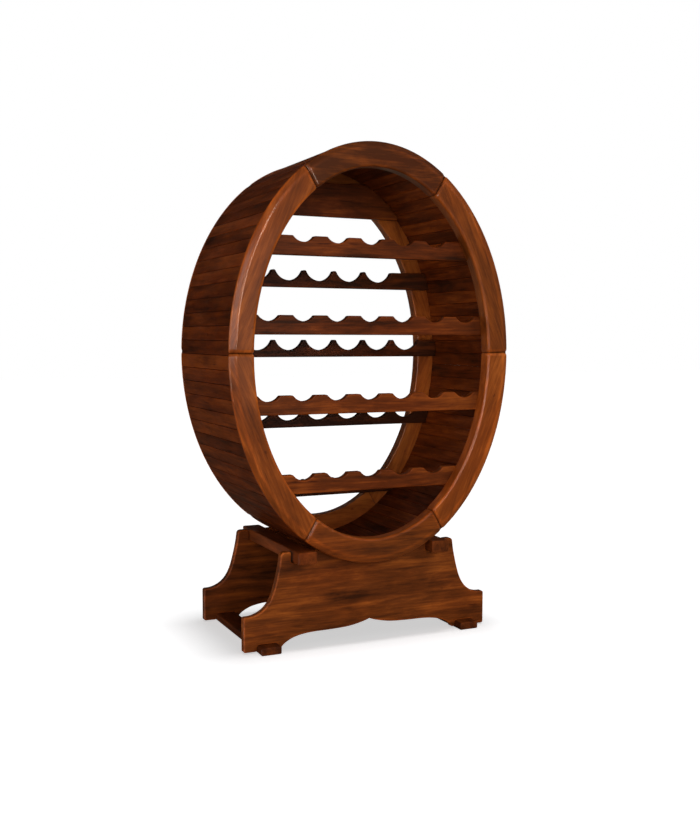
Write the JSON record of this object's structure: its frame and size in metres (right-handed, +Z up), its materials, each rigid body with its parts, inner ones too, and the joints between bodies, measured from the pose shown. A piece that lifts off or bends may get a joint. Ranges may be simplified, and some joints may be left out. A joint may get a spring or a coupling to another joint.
{
  "type": "bar cabinet",
  "caption": "Open oval barrel-shaped wooden rack for lying wine bottles, with scalloped rails in two end rings joined by staves, standing on a cradle stand.",
  "frame": {"origin": "centre of the footprint, on the floor under the middle of the barrel", "axes": "+Z up; -Y towards the front, where the bottle necks point out; +X to the right as seen from the front. The barrel's axis runs along Y."},
  "size_m": [0.676, 0.366, 1.0993],
  "materials": {
    "stave_wood": "dark red-brown stained hardwood, satin lacquer, narrow strips that differ a little in tone",
    "ring_wood": "red-brown stained hardwood, semi-gloss lacquer, lighter worn arrises",
    "rail_wood": "red-brown stained hardwood, satin lacquer",
    "stand_wood": "red-brown stained hardwood board, satin lacquer",
    "beam_wood": "dark red-brown stained hardwood, satin lacquer",
    "dowel_beech": "plain unstained fluted beech",
    "zinc_steel": "zinc-plated steel wood screws",
    "dark_steel": "black-oxide steel wood screws, barely seen in the dark bottom of the barrel",
    "bright_steel": "bright steel brads"
  },
  "bodies": {
    "root": {"back_felloe_bottom": "ring_wood", "back_felloe_dowels": "dowel_beech", "back_felloe_lower_left": "ring_wood", "back_felloe_lower_right": "ring_wood", "back_felloe_top": "ring_wood", "back_felloe_upper_left": "ring_wood", "back_felloe_upper_right": "ring_wood", "back_rail_1": "rail_wood", "back_rail_2": "rail_wood", "back_rail_3": "rail_wood", "back_rail_4": "rail_wood", "back_rail_dowels": "dowel_beech", "back_top_rail": "rail_wood", "barrel_screws": "dark_steel", "bearer_left": "beam_wood", "bearer_right": "beam_wood", "bearer_screws": "zinc_steel", "front_felloe_bottom": "ring_wood", "front_felloe_dowels": "dowel_beech", "front_felloe_lower_left": "ring_wood", "front_felloe_lower_right": "ring_wood", "front_felloe_top": "ring_wood", "front_felloe_upper_left": "ring_wood", "front_felloe_upper_right": "ring_wood", "front_rail_1": "rail_wood", "front_rail_2": "rail_wood", "front_rail_3": "rail_wood", "front_rail_4": "rail_wood", "front_rail_dowels": "dowel_beech", "runner_left": "beam_wood", "runner_right": "beam_wood", "runner_screws": "zinc_steel", "stand_back_board": "stand_wood", "stand_front_board": "stand_wood", "stave_brads_back": "bright_steel", "stave_brads_front": "bright_steel", "staves_bottom": "stave_wood", "staves_lower_left": "stave_wood", "staves_lower_right": "stave_wood", "staves_top": "stave_wood", "staves_upper_left": "stave_wood", "staves_upper_right": "stave_wood"}
  },
  "joints": []
}
